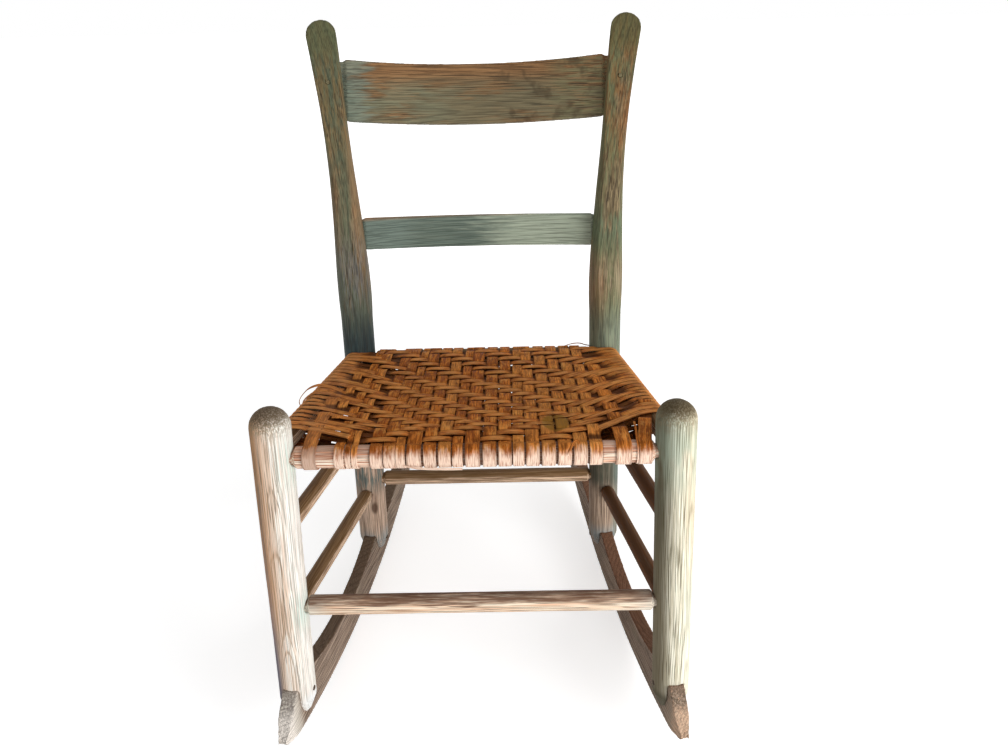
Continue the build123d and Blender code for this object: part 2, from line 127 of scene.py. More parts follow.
class Value:
    """What a node puts out, a number, a place or a colour, with the sums that are done on it."""

    def __init__(self, socket):
        self.socket, self.tree = socket, socket.id_data

    def reckon(self, operation, *terms, out=0):
        kind = "ShaderNodeVectorMath" if self.socket.type == "VECTOR" else "ShaderNodeMath"
        return put(self.tree, kind, dict(enumerate(terms)), out, operation=operation)

    def __add__(self, other):
        return self.reckon("ADD", self, other)

    def __sub__(self, other):
        return self.reckon("SUBTRACT", self, other)

    def __rsub__(self, other):
        return self.reckon("SUBTRACT", other, self)

    def __mul__(self, other):
        return self.reckon("MULTIPLY", self, other)

    def __truediv__(self, other):
        return self.reckon("DIVIDE", self, other)

    def __abs__(self):
        return self.reckon("ABSOLUTE", self)

    def or_more(self, other):
        return self.reckon("MAXIMUM", self, other)

    def fraction(self):
        return self.reckon("FRACT", self)

    def length(self):
        return self.reckon("LENGTH", self, out=1)

    def parts(self):
        """A place's three numbers."""
        return tuple(put(self.tree, "ShaderNodeSeparateXYZ", {0: self}, None).values())

    def ramp(self, start, end):
        """0 where this is at start or before it, 1 at end or past it, and smooth between."""
        limits = {0: self, 1: start, 2: end, 3: 0.0, 4: 1.0}
        return put(self.tree, "ShaderNodeMapRange", limits, interpolation_type="SMOOTHSTEP")

    def near(self, place, reach):
        """1 where this is at place, down to 0 at reach on both sides of it."""
        return abs(self - place).ramp(reach, 0)

    def noise(self, scale, detail=3.0, roughness=0.55, stretch=None):
        """Cloudy noise over a place, from 0 to 1 about its mean of a half."""
        place = self * stretch if stretch else self
        sockets = {"Vector": place, "Scale": scale, "Detail": detail, "Roughness": roughness}
        return put(self.tree, "ShaderNodeTexNoise", sockets)

    def mix(self, below, above):
        """The colour above laid on the colour below, by this share."""
        below, above = (tone(c) if isinstance(c, tuple) else c for c in (below, above))
        return put(self.tree, "ShaderNodeMix", {0: self, 6: below, 7: above}, 2, data_type="RGBA")


def new_group(name, kind, takes, gives):
    """An empty group of nodes with named inputs and outputs, and what its inputs hold."""
    tree = bpy.data.node_groups.new(name, kind)
    for way, sockets in (("INPUT", takes), ("OUTPUT", gives)):
        for label, form in sockets.items():
            tree.interface.new_socket(label, in_out=way, socket_type="NodeSocket" + form)
    return tree, put(tree, "NodeGroupInput", out=None)


def wood_figure():
    """Fibres, growth rings round a pith outside the piece, and the open pores of early wood."""
    tree, taken = new_group(
        "wood figure", "ShaderNodeTree",
        {"Grain": "Vector", "Pith": "Vector", "Ring Gap": "Float", "Run Out": "Float"},
        {"Fibre": "Float", "Ring": "Float", "Pore": "Float", "Streak": "Float"},
    )
    grain = taken["Grain"]
    from_pith = ((grain - taken["Pith"]) * (1, 1, 0)).length()
    climbing = from_pith + grain.parts()[2] * taken["Run Out"]
    wander = grain.noise(24, 1, stretch=(1, 1, 0.3)) * 0.007
    year = ((climbing + wander) / taken["Ring Gap"]).fraction()
    early = year.near(0.22, 0.22)
    pores = grain.noise(1350, 0, stretch=(1, 1, 0.014)) + early * 0.12
    put(tree, "NodeGroupOutput", {
        "Fibre": grain.noise(920, 2, 0.6, (1, 1, 0.012)),
        "Ring": early,
        "Pore": pores.ramp(0.59, 0.68),
        "Streak": grain.noise(640, 3, 0.72, (1, 1, 0.018)),
    }, None)
    return tree


def worn_paint():
    """Where old paint is left: streaks along the fibres, fewer where it was handled."""
    tree, taken = new_group(
        "worn paint", "ShaderNodeTree",
        {"Grain": "Vector", "Cover": "Float"}, {"Paint": "Float", "Shade": "Float"},
    )
    grain = taken["Grain"]
    patch = grain.noise(48, 3, 0.55, (1, 1, 0.25)) * 0.64
    streak = grain.noise(1000, 1, 0.6, (1, 1, 0.022)) * 0.36
    bare_below = 0.78 - taken["Cover"] * 0.56
    put(tree, "NodeGroupOutput", {
        "Paint": (patch + streak - bare_below).ramp(-0.05, 0.05),
        "Shade": grain.noise(240, 3, 0.65, (1, 1, 0.1)),
    }, None)
    return tree


def bench_place():
    """Turns a point of the resting chair back to the bench."""
    tree, taken = new_group("bench place", "ShaderNodeTree", {"Point": "Vector"},
                            {"X": "Float", "Y": "Float", "Z": "Float"})
    back = put(tree, "ShaderNodeMapping", {
        "Vector": taken["Point"], "Location": rest_to_bench.translation,
        "Rotation": rest_to_bench.to_euler(),
    })
    put(tree, "NodeGroupOutput", dict(zip("XYZ", back.parts())), None)
    return tree


FIGURE = wood_figure()
PAINT = worn_paint()
BENCH = bench_place()


class Finish:
    """A material that is built up in layers of colour, like the surface it stands for."""

    def __init__(self, name):
        self.material = bpy.data.materials.new(name)
        self.material.use_nodes = True
        self.tree = self.material.node_tree
        self.grain = put(self.tree, "ShaderNodeAttribute", out=1, attribute_name="grain")
        self.across, self.through, _ = self.grain.parts()
        self.point = put(self.tree, "ShaderNodeTexCoord", out="Object")
        self.x, self.y, self.z = self.effect(BENCH, Point=self.point).values()

    def effect(self, group, **takes):
        """One of the shared effects, with this finish's own values."""
        links = {label.replace("_", " "): value for label, value in takes.items()}
        return put(self.tree, "ShaderNodeGroup", links, None, node_tree=group)

    def paint(self, cover):
        """Old paint, of which that much is left."""
        return self.effect(PAINT, Grain=self.grain, Cover=cover)

    def upward(self):
        """1 on what looks up, 0 on what looks down: where grime and painted shade are laid."""
        normal = put(self.tree, "ShaderNodeNewGeometry", out="Normal")
        return normal.parts()[2].ramp(-0.15, 0.8)

    def lay(self, share, colour, strength=1.0):
        """Lays a colour over what is there."""
        if strength != 1.0:
            share = share * strength
        self.colour = share.mix(self.colour, colour)
        return self

    def wood(self, light, dark, pore, pith=(0.0, 0.1, 0.0), ring_gap=0.002, run_out=-0.02,
             ring_share=0.45):
        """The bare wood: light and dark fibres, rings and pores."""
        self.fibre, self.ring, self.pore, self.streak = self.effect(
            FIGURE, Grain=self.grain, Pith=pith, Ring_Gap=ring_gap, Run_Out=run_out
        ).values()
        self.colour = self.streak.ramp(0.36, 0.6).mix(dark, light)
        self.lay(self.ring, dark, ring_share)
        self.lay(self.fibre.ramp(0.48, 0.38), dark, 0.7)
        return self.lay(self.pore, pore, 0.85)

    def grain_lines(self, colour, strength):
        """Lets the pores and the rings' edges show through paint and dirt."""
        lines = self.pore.or_more(self.ring * 0.45).or_more(self.fibre.ramp(0.46, 0.38) * 0.8)
        return self.lay(lines, colour, strength)

    def close(self, roughness, bump, relief=None, depth=0.0006, shine=0.14):
        """Sends the layers to the shader, with the wood's own or another relief as bump.

        A wood's relief is its raised late wood and fibres, with sunk early wood.
        """
        relief = relief or self.fibre - self.ring * 0.7
        change = {0: self.streak, 1: 0.3, 2: 0.7, 3: roughness[0], 4: roughness[1]}
        uneven = {"Strength": bump, "Distance": depth, "Height": relief}
        shader = self.tree.nodes["Principled BSDF"].inputs
        for label, value in (
            ("Base Color", self.colour),
            ("Roughness", put(self.tree, "ShaderNodeMapRange", change)),
            ("Normal", put(self.tree, "ShaderNodeBump", uneven)),
        ):
            self.tree.links.new(value.socket, shader[label])
        shader["Specular IOR Level"].default_value = shine
        return self.material


# ---- wood: how it is worn
# Shaved by hand and left dry, each piece has low lumps and raised fibres. A copy of its solid
# is meshed anew, pushed in and out along its fibres, and crumbled at one worn spot.
def keep(geometry, label, value, kind="FLOAT_VECTOR"):
    """Keeps a value on the points of a mesh or a line, under a name."""
    links = {"Geometry": geometry, "Name": label, "Value": value}
    return put(geometry.tree, "GeometryNodeStoreNamedAttribute", links, data_type=kind,
               domain="POINT")


def hand_over(geometry, finish, smooth):
    """Ends a tree of geometry nodes: real faces, rounded or flat, in their finish."""
    tree = geometry.tree
    shaded = put(tree, "GeometryNodeSetShadeSmooth", {0: geometry, 2: smooth})
    real = put(tree, "GeometryNodeRealizeInstances", {0: shaded})
    done = put(tree, "GeometryNodeSetMaterial", {"Geometry": real, "Material": finish})
    put(tree, "NodeGroupOutput", {0: done}, None)


def surface_tree():
    """Geometry nodes that straighten a piece's grain, keep it, and weather the surface."""
    tree, taken = new_group("weathered surface", "GeometryNodeTree", {
        "Geometry": "Geometry", "Foot": "Vector", "Along": "Vector", "Bend": "Vector",
        "Bend From": "Float", "Lumps": "Float", "Ridges": "Float", "Worn Spot": "Vector",
        "Worn Reach": "Float", "Worn Depth": "Float", "Draw In": "Float", "Seed": "Float",
        "Finish": "Material",
    }, {"Geometry": "Geometry"})
    position = put(tree, "GeometryNodeInputPosition")
    from_foot = position - taken["Foot"]
    run = from_foot.reckon("DOT_PRODUCT", from_foot, taken["Along"], out=1)
    bent_run = run.or_more(taken["Bend From"])
    straight = from_foot - taken["Bend"] * (bent_run * bent_run * 0.5)
    turn = put(tree, "FunctionNodeAlignRotationToVector", {"Vector": taken["Along"]}, axis="Z")
    unturn = put(tree, "FunctionNodeInvertRotation", {0: turn})
    grain = put(tree, "FunctionNodeRotateVector", {0: straight, 1: unturn})
    seeded = grain + put(tree, "ShaderNodeCombineXYZ", {2: taken["Seed"]})
    kept = keep(taken["Geometry"], "grain", seeded)

    lumps = (seeded.noise(42, 2, stretch=(1, 1, 0.16)) - 0.5) * taken["Lumps"]
    ridges = (seeded.noise(230, 3, stretch=(1, 1, 0.05)) - 0.5) * taken["Ridges"]
    to_spot = taken["Worn Spot"] - position
    worn = to_spot.length().ramp(taken["Worn Reach"], 0) * taken["Worn Depth"]
    bites = seeded.noise(260, 2).ramp(0.38, 0.68) * 0.55 + 0.45
    push = lumps + ridges - bites * worn
    outwards = put(tree, "GeometryNodeInputNormal") * push
    inwards = to_spot * (worn * taken["Draw In"])
    moved = put(tree, "GeometryNodeSetPosition", {"Geometry": kept, "Offset": outwards + inwards})
    hand_over(moved, taken["Finish"], True)
    return tree


SURFACE = surface_tree()
# How much a worn spot's points are also drawn in to its middle, for each metre of its depth.
draw_in = 120.0
# Where no piece is, for those that have no worn spot.
nowhere = (0, 0, 0)


def set_inputs(modifier, values):
    """Sets a modifier's inputs, given by the names of the tree's sockets."""
    for socket in modifier.node_group.interface.items_tree:
        if socket.in_out == "INPUT" and socket.name in values:
            modifier[socket.identifier] = values[socket.name]


def settled(name, thing):
    """The plain mesh that an object's modifiers make, as a piece of the chair."""
    graph = bpy.context.evaluated_depsgraph_get()
    mesh = bpy.data.meshes.new_from_object(
        thing.evaluated_get(graph), preserve_all_data_layers=True, depsgraph=graph
    )
    mesh.name = name
    bpy.data.objects.remove(thing)
    piece = in_scene(name, mesh)
    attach(piece, "root")
    return piece


def weathered(node, finish, foot, along, voxel=0.0013, lumps=0.0006, ridges=0.0004,
              bend=(0, 0, 0), bend_from=0.0, worn_spot=nowhere, worn_reach=0.012,
              worn_depth=0.0012, seed=0.0):
    """A worn copy of a node, which it replaces. Places and directions are given on the bench."""
    work = bmesh.new()
    work.from_mesh(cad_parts[node].data)
    bmesh.ops.remove_doubles(work, verts=work.verts, dist=0.00001)
    mesh = bpy.data.meshes.new("copy")
    work.to_mesh(mesh)
    work.free()
    copy = in_scene("copy", mesh)
    remesh = copy.modifiers.new("even mesh", "REMESH")
    remesh.mode = "VOXEL"
    remesh.voxel_size = voxel
    ease = copy.modifiers.new("eased edges", "SMOOTH")
    ease.iterations = 2
    worn = copy.modifiers.new("weathered", "NODES")
    worn.node_group = SURFACE
    turn = bench_to_rest.to_3x3()
    set_inputs(worn, {
        "Foot": bench_to_rest @ Vector(foot), "Along": (turn @ Vector(along)).normalized(),
        "Bend": turn @ Vector(bend), "Bend From": bend_from, "Lumps": lumps, "Ridges": ridges,
        "Worn Spot": bench_to_rest @ Vector(worn_spot), "Worn Reach": worn_reach,
        "Worn Depth": worn_depth, "Draw In": draw_in, "Seed": seed, "Finish": finish,
    })
    piece = settled("worn_" + node, copy)
    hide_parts(node)
    return piece


# ---- front posts
# Two turned posts with domed tops, bleached by sun and scrubbing. Their right sides carry painted
# light and their left sides painted shade, as from the lamp on the right. The domes' tops carry
# mottled painted shade, and green paint is left in the shelter of the rail and the stretcher.
sides = {"right": 1, "left": -1}
rail_height = 0.375
front_spacing = 0.44
front_splay = radians(2.3)
front_foot = 0.022
front_foot_out = 0.0137
front_toe_x = 0.2335
dome_starts = 0.405
dome_ends = 0.43


def front_post_finish(side):
    """The left one is flat-sawn and pinkish, the right one straight-grained and olive."""
    left = side == "left"
    look = Finish("bleached_post_" + side)
    across, z = look.across, look.z
    if left:
        look.wood((255, 254, 246), (236, 208, 184), (150, 130, 112),
                  pith=(0.004, 0.1, 0.0), ring_gap=0.0011, run_out=-0.013, ring_share=0.85)
    else:
        look.wood((255, 252, 234), (200, 190, 164), (104, 96, 74),
                  pith=(-0.07, 0.06, 0.0), ring_gap=0.0021, run_out=-0.006, ring_share=0.8)
    streaky = look.streak.ramp(0.34, 0.58)
    high = z.ramp(0.15, 0.38)
    # painted light: each post's right side is laid paler, as if lit by the lamp on the right
    painted_light = (255, 255, 250) if left else high.mix((238, 234, 214), (222, 200, 168))
    look.lay(across.ramp(0.001, 0.017), painted_light, 0.6)
    # partly the left post's warm wood tone, partly painted half-shade: its left half is laid
    # streaky pink
    if left:
        look.lay(across.ramp(0.001, -0.015) * streaky, (248, 194, 150), 0.6)
    # painted shade: each post's left side, turned from the lamp, is laid darker
    shaded = high.mix((104, 108, 130) if left else (112, 100, 78),
                      (80, 58, 46) if left else (58, 58, 38))
    look.lay(across.ramp(-0.009 if left else -0.003, -0.018), shaded, 0.9)
    # partly the wood's tan, partly painted half-shade between the painted light and the painted
    # shade
    tan = across.ramp(0.006, -0.012) * streaky
    if left:
        look.lay(tan * z.ramp(0.1, 0.2), (238, 180, 128), 0.68)
    else:
        look.lay(tan, (158, 150, 122), 0.2)
    by_rail = z.near(rail_height - 0.004, 0.055)
    sheltered = by_rail.or_more(z.near(stretcher_height, 0.045))
    if left:
        inner = across.ramp(0.003, 0.018)
        look.lay(sheltered * (inner * streaky), (186, 212, 200), 0.75)
        # painted light: the inner side of the left post's foot is laid nearly white, as lit by the
        # lamp on the right
        look.lay(z.ramp(0.06, 0.04) * inner, (252, 254, 254), 0.9)
    else:
        patch = look.grain.noise(55, 2, stretch=(1, 1, 0.3)).ramp(0.36, 0.56)
        look.lay(z.near(0.385, 0.085) * patch, (164, 180, 160), 0.6)
        look.lay(sheltered * across.ramp(0.004, 0.02), (214, 222, 204), 0.3)
        # painted shade: the left side of the right post's foot, which faces away from the lamp, is
        # laid dark olive
        foot_shade = z.ramp(0.055, 0.04) * across.ramp(0.002, -0.006)
        look.lay(foot_shade, (84, 78, 62), 0.85)
    # painted shade on the domes, mottled: their tops are laid dark, as the low lamps leave them
    # unlit
    mottled = look.grain.noise(560, 3, 0.8, (1, 1, 0.4)).ramp(0.4, 0.56)
    look.lay(z.ramp(0.398, 0.424) * mottled, (148, 134, 106), 0.8)
    top = z.ramp(dome_starts + 0.012, dome_ends + 0.001)
    look.lay(top, (124, 104, 82) if left else (98, 80, 50), 0.85)
    look.lay(top * mottled, (72, 58, 40), 0.75)
    look.grain_lines((128, 112, 92) if left else (104, 98, 74), 0.4)
    return look.close((0.62, 0.84), 0.5)


for side, way in sides.items():
    weathered(
        "front_post_" + side, front_post_finish(side),
        foot=(way * (front_spacing / 2 + front_foot_out), 0, front_foot),
        along=(-way * sin(front_splay), 0, cos(front_splay)),
        lumps=0.0011, ridges=0.0007, worn_spot=(way * front_toe_x, 0, front_foot),
        seed=1.3 + way * 0.4,
    )

# ---- rear posts
# Turned, shaved flat in front and bent back above the seat. Hands have worn the paint to olive
# brown; it is deepest green right above the seat, and below it the wood is bare and tan.
rear_spacing = 0.357
rear_splay = radians(1.05)
bend_above_rail = 0.068
bend_starts = rail_height + bend_above_rail
bend_radius = 0.93
bend_turn = radians(25.5)
rear_foot = (0.184, seat_depth, 0.055)
rear_post_seed = {"right": 3.3, "left": 1.9}
# The knot is in the left post, below the seat: across, through and along its grain.
knot = (0.008, -0.02, 0.135 - bend_starts + rear_post_seed["left"])


def rear_post_finish(side):
    """Right and left differ in how green they are above the seat."""
    left = side == "left"
    look = Finish("worn_green_post_" + side)
    across, z = look.across, look.z
    look.wood((152, 132, 98), (104, 90, 64), (48, 40, 30),
              pith=(0.03 if left else -0.03, 0.09, 0.0), ring_gap=0.003, run_out=0.02)
    paint, shade = look.paint(0.55).values()
    streaky = look.streak.ramp(0.38, 0.6)
    blotchy = shade.ramp(0.44, 0.6)
    look.lay(paint, (96, 108, 86) if left else (110, 116, 82), 0.8)
    handled = z.ramp(0.6, 0.72) * blotchy
    look.lay(handled, (138, 114, 74) if left else (142, 98, 56), 0.6)
    look.lay(z.ramp(0.772, 0.8), (106, 110, 78) if left else (100, 96, 62), 0.75)
    if left:
        inner_edge = across.ramp(0.006, 0.015)
        look.lay(z.near(0.6, 0.15) * inner_edge, (170, 118, 76), 0.5)
    look.lay(z.near(0.56, 0.12) * streaky, (150, 134, 104), 0.45)
    if left:
        rusty = across.ramp(0, -0.01) * shade
        look.lay(rusty * z.near(0.6, 0.1), (148, 100, 66), 0.5)
        look.lay(z.near(0.5, 0.09) * streaky, (118, 124, 128), 0.65)
    else:
        rusty = across.ramp(-0.002, 0.008) * shade
        look.lay(rusty * z.near(0.69, 0.06), (164, 104, 58), 0.55)
        rusty = across.ramp(0.004, -0.008) * shade
        look.lay(rusty * z.near(0.47, 0.08), (174, 120, 82), 0.65)
        look.lay(z.near(0.56, 0.05) * paint, (94, 116, 92), 0.6)
        look.lay(z.near(0.49, 0.05) * streaky, (186, 164, 136), 0.45)
    deep = z.near(0.4, 0.08)
    look.lay(deep, (60, 80, 84) if left else (136, 148, 128), 0.9 if left else 0.7)
    look.lay(deep * blotchy, (40, 52, 58) if left else (80, 92, 82), 0.6)
    bare = z.ramp(0.366, 0.336)
    plain = streaky.mix((164, 134, 114) if left else (136, 112, 96),
                        (236, 206, 182) if left else (206, 180, 158))
    look.lay(bare, plain, 0.9)
    teal = z.ramp(0.15, 0.185) * bare
    patches = teal * shade.ramp(0.4, 0.58)
    look.lay(patches, (86, 114, 114) if left else (64, 76, 68), 0.85)
    if not left:
        look.lay(teal, (84, 84, 70), 0.85)
        look.lay(bare * across.ramp(0.008, 0.018), (112, 130, 122), 0.6)
    look.lay(z.ramp(0.105, 0.075) * paint, (146, 158, 160), 0.75)
    if left:
        knot_far = ((look.grain - knot) * (1, 0.2, 0.45)).length()
        look.lay(knot_far.ramp(0.0065, 0.0025), (84, 58, 42), 0.85)
    look.grain_lines((56, 46, 36), 0.5)
    return look.close((0.5, 0.76), 0.6)


for side, way in sides.items():
    upward = Vector((-way * sin(rear_splay), 0, cos(rear_splay)))
    bend_foot = Vector((way * rear_spacing / 2, seat_depth, rail_height))
    weathered(
        "rear_post_" + side, rear_post_finish(side),
        foot=bend_foot + upward * bend_above_rail, along=upward,
        bend=Vector((way * sin(bend_turn), cos(bend_turn), 0)) / bend_radius,
        voxel=0.0014, lumps=0.0012, ridges=0.0007,
        worn_spot=(way * rear_foot[0], *rear_foot[1:]), seed=rear_post_seed[side],
    )

# ---- slats
# Two bent boards let into the rear posts. The crest slat is worn brown where backs have rubbed
# it, and is still blue-green at its left end; the lower one keeps most of its paint.
slat_bend = 0.51


def crest_finish():
    """Orange brown above, olive below, blue-green at the left end and olive at the right."""
    look = Finish("worn_green_crest")
    x, z = look.x, look.z
    look.wood((158, 122, 84), (116, 92, 64), (62, 48, 36),
              pith=(0.04, 0.02, 0.0), ring_gap=0.0052, run_out=0.05, ring_share=0.3)
    paint, shade = look.paint(0.6).values()
    below = z.ramp(0.764, 0.735)
    look.lay(paint * below, (124, 120, 94), 0.75)
    wash = look.point.noise(60, 3, 0.6, (0.22, 1, 1)).ramp(0.42, 0.58)
    look.lay(wash * x.ramp(0, -0.07) * below, (132, 136, 110), 0.55)
    look.lay(shade * z.ramp(0.745, 0.768), (168, 118, 74), 0.6)
    left_end = (x + (shade - 0.5) * 0.1).ramp(-0.134, -0.162)
    look.lay(left_end, (130, 142, 126), 0.8)
    look.lay(left_end * shade.ramp(0.48, 0.58), (84, 98, 88), 0.6)
    right_end = x.ramp(0.085, 0.135)
    look.lay(right_end * shade.ramp(0.4, 0.56), (132, 128, 94), 0.8)
    stain = look.point.noise(34).ramp(0.56, 0.68)
    look.lay(stain * x.ramp(0, 0.05), (70, 58, 42), 0.55)
    look.lay(z.ramp(0.7765, 0.783) * shade, (176, 120, 78), 0.8)
    look.grain_lines((58, 44, 32), 0.5)
    return look.close((0.45, 0.68), 0.6)


def lower_slat_finish():
    """Blue-green, with a rubbed top edge and a paler right end."""
    look = Finish("worn_green_slat")
    look.wood((150, 128, 100), (92, 80, 62), (50, 46, 40),
              pith=(-0.03, 0.03, 0.0), ring_gap=0.006, run_out=0.05)
    paint, shade = look.paint(0.98).values()
    look.lay(paint, (106, 124, 114), 0.9)
    look.lay(look.fibre.ramp(0.44, 0.6) * shade, (146, 156, 140), 0.8)
    look.lay(shade * paint, (72, 86, 78), 0.45)
    look.lay(look.x.ramp(-0.075, -0.12), (128, 144, 134), 0.55)
    pale = (look.x + (shade - 0.5) * 0.16).ramp(-0.03, 0.07)
    look.lay(pale * paint, (184, 194, 172), 0.8)
    rubbed = look.z.ramp(0.5715, 0.5785) * look.x.ramp(0.1, 0.02)
    look.lay(rubbed, (176, 124, 82), 0.8)
    look.grain_lines((54, 58, 48), 0.5)
    return look.close((0.48, 0.7), 0.6)


for node, finish, slat_middle, seed in (
    ("crest_slat", crest_finish(), (0, 0.354, 0.745), 3.9),
    ("lower_slat", lower_slat_finish(), (0, 0.311, 0.557), 4.4),
):
    weathered(node, finish, slat_middle, (1, 0, 0), bend_from=-1.0,
              bend=(0, -1 / slat_bend, 0), voxel=0.0011, lumps=0.0009, ridges=0.0005, seed=seed)


# ---- rungs
# Turned stretchers and rails, tenoned into the posts. The front stretcher is scrubbed pale
# where feet rub it, the others are brown, and the side stretchers on the right are a darker
# copy in painted shade. Old grime and painted shade darken all of them on top.
side_rail_height = 0.38
side_drop = {"upper": 0.1, "lower": 0.216}
# The front rail carries painted shade where the seat covers it, from its left to its right end.
covered = (-0.114, 0.141)


def rung_finish(name, light, dark, pore_grime_and_shade, grime_and_shade_strength=0.85, grime_and_shade_from=0.55, ends=None, under=None):
    """A rung with grime and painted shade on top, its end colour where ends is given, and painted
    shade on its covered middle.
    """
    look = Finish(name)
    look.wood(light, dark, pore_grime_and_shade, pith=(0.03, 0.06, 0.0), ring_gap=0.0022, run_out=0.01,
              ring_share=0.3)
    if ends:
        look.lay(abs(look.x).ramp(0.17, 0.205), ends, 0.7)
    paint, shade = look.paint(0.25).values()
    look.lay(paint, (150, 148, 128), 0.3)
    # grime and painted shade: the rung's upward faces are laid darker, as the low lamps leave them
    # unlit
    grimy_shaded_top = (look.upward() + (shade - 0.5) * 0.55).ramp(grime_and_shade_from, grime_and_shade_from + 0.28)
    look.lay(grimy_shaded_top, pore_grime_and_shade, grime_and_shade_strength)
    look.grain_lines((84, 62, 46), 0.38)
    # painted shade on the rail under and between the seat's wraps
    if under:
        from_left = look.x.ramp(under[0], under[0] + 0.002)
        to_right = look.x.ramp(under[1], under[1] - 0.002)
        look.lay(from_left * to_right, (72, 40, 22), 0.8)
    return look.close((0.5, 0.76), 0.6)


pale_rung = rung_finish("scrubbed_rung", (255, 240, 216), (246, 202, 168), (124, 90, 70), 0.94,
                        0.8, ends=(226, 222, 208))
brown_rung = rung_finish("brown_rung", (255, 222, 190), (170, 136, 108), (112, 80, 38))
# painted shade: a darker copy of the brown rung for the right side stretchers, whose inner sides
# face away from the lamp
shaded_brown_rung = rung_finish("shaded_brown_rung", (124, 76, 34), (72, 42, 16), (88, 54, 22), 0.7)
rail_wood = rung_finish("rail_wood", (255, 246, 226), (248, 184, 150), (176, 104, 68), 0.4,
                        under=covered)

for node, finish, place, lumps, seed in (
    ("front_stretcher", pale_rung, (0, 0, stretcher_height), 0.0014, 5.1),
    ("rear_stretcher", brown_rung, (0, seat_depth, stretcher_height), 0.0012, 5.6),
    ("front_rail", rail_wood, (0, 0, rail_height), 0.0009, 6.2),
    ("back_rail", brown_rung, (0, seat_depth, rail_height), 0.0008, 6.7),
):
    weathered(node, finish, place, (1, 0, 0), lumps=lumps, seed=seed)
for side, way in sides.items():
    slant = Vector((way * (rear_spacing - front_spacing) / 2, seat_depth, 0))
    start_x = way * front_spacing / 2
    for level, drop in side_drop.items():
        finish = shaded_brown_rung if side == "right" else brown_rung
        weathered("%s_side_stretcher_%s" % (level, side), finish,
                  (start_x, 0, rail_height - drop), slant,
                  lumps=0.0012, seed=7.0 + drop + way * 0.3)
    weathered("side_rail_" + side, brown_rung,
              (start_x, 0, side_rail_height), slant, lumps=0.0008, seed=8.0 + way * 0.2)

# ---- rockers
# Sawn from board, so their grain runs straight through the curve. They are grey-brown, darker
# on their upper edges, and their toes have rotted to a pale crumb.
rocker_x = 0.2325
rocker_height = 0.03
rocker_splay = 0.1599
toe_reach = 0.058
toe_height = 0.018


def rocker_finish(side):
    """Right and left differ in how red their top edges are and how pale their toes. The toes are
    pale from weathering; the left one is laid paler still as painted light, its inner face turned
    to the lamp, and the right one darker as painted shade, its inner face turned away.
    """
    left = side == "left"
    look = Finish("grey_rocker_" + side)
    look.wood((182, 162, 144), (128, 106, 90), (66, 52, 42),
              pith=(0.03, 0.05, 0.0), ring_gap=0.0034, run_out=0.02)
    look.lay(look.paint(0.35)["Paint"], (140, 132, 112), 0.45)
    up = look.upward()
    # grime and painted shade: the rockers' upper edges are laid darker, as the low lamps leave them
    # unlit
    look.lay(up.ramp(0.62, 0.95), (104, 84, 66) if left else (118, 78, 54), 0.85)
    # weathered pale toe; the left toe's paler colour is partly painted light, the right one's
    # darker colour partly painted shade
    pale_toe = look.y.ramp(-0.01, -0.034)
    look.lay(pale_toe, (240, 232, 218) if left else (176, 156, 136), 0.85)
    long_dirt = look.grain.noise(480, 3, 0.65, (1, 1, 0.1)).ramp(0.36, 0.58)
    # dirt streaks on the toe, weighted to upward faces as painted shade
    dirt_and_shade = pale_toe * long_dirt * (up * 0.75 + 0.15)
    look.lay(dirt_and_shade, (112, 100, 98) if left else (64, 52, 38), 0.85)
    crumbs = look.grain.noise(520, 4, 0.75, (1, 1, 0.3)).ramp(0.68, 0.48)
    tip = look.y.ramp(-0.032, -0.044) * crumbs
    look.lay(tip, (255, 246, 236) if left else (216, 182, 154), 0.92)
    if not left:
        bloom = look.point.noise(260, 2).ramp(0.56, 0.66)
        look.lay(pale_toe * bloom, (220, 174, 142), 0.45)
    look.grain_lines((72, 58, 48), 0.45)
    return look.close((0.66, 0.88), 0.6)


for side, way in sides.items():
    toe_tip = (way * (rocker_x + rocker_splay * toe_reach), -toe_reach, toe_height)
    weathered("rocker_" + side, rocker_finish(side),
              (way * rocker_x, 0, rocker_height), (-way * rocker_splay, 1, 0),
              lumps=0.0008, ridges=0.0006, worn_spot=toe_tip,
              worn_reach=0.034, worn_depth=0.0036, seed=9.0 + way * 0.5)

# ---- pins and pegs
# Whittled hardwood pins hold the rockers in the feet of the posts, and pegs the crest slat.
# The pins have darkened more than the wood around them; the pegs are worn down with the posts.
for node, name, colours, roughness, foot, along, voxel, seed in (
    ("rocker_pins", "dark_pin", ((112, 90, 72), (66, 52, 42), (36, 28, 22)), (0.6, 0.8),
     (0, 0, 0.05), (1, 0, 0), 0.0006, 9.7),
    ("crest_pegs", "worn_peg", ((150, 142, 108), (112, 102, 74), (60, 50, 38)), (0.5, 0.7),
     (0, 0.354, 0.753), (0, 1, 0), 0.0005, 9.9),
):
    finish = Finish(name).wood(*colours, ring_gap=0.0015).close(roughness, 0.4)
    weathered(node, finish, foot, along, voxel, 0.0003, 0.0002, seed=seed)

# ---- splint seat
# Long splints of ash, rived thin. Warps go round the front and back rails, wefts over two and
# under two of them round the side rails. The wefts crowd together at the rails and bow forward.
splint_thickness = 0.0011
usual_width = 0.0132
warp_wave = 0.0014
weft_wave = 0.0017
top_plane = 0.392
bottom_plane = 0.3645
comes_in_over = 0.03
seat_sag = 0.0035
seat_half_width = 0.19
wrap_radius = 0.0136
wrap_parts = 13
side_rail_front = 0.2202
side_rail_slant = 0.1365
step = 0.0022
# Where each weft lies in the middle of the seat, in mm behind the front rail.
weft_middles = (
    8.5, 20, 30.5, 39.5, 48, 57.5, 66.5, 76, 85.5, 95, 105.5, 117,
    129, 141, 153.5, 164, 175, 188.5, 203.5, 219.5, 236, 252.5, 268, 282.5,
)
weft_rows = len(weft_middles)
turning_row = 3
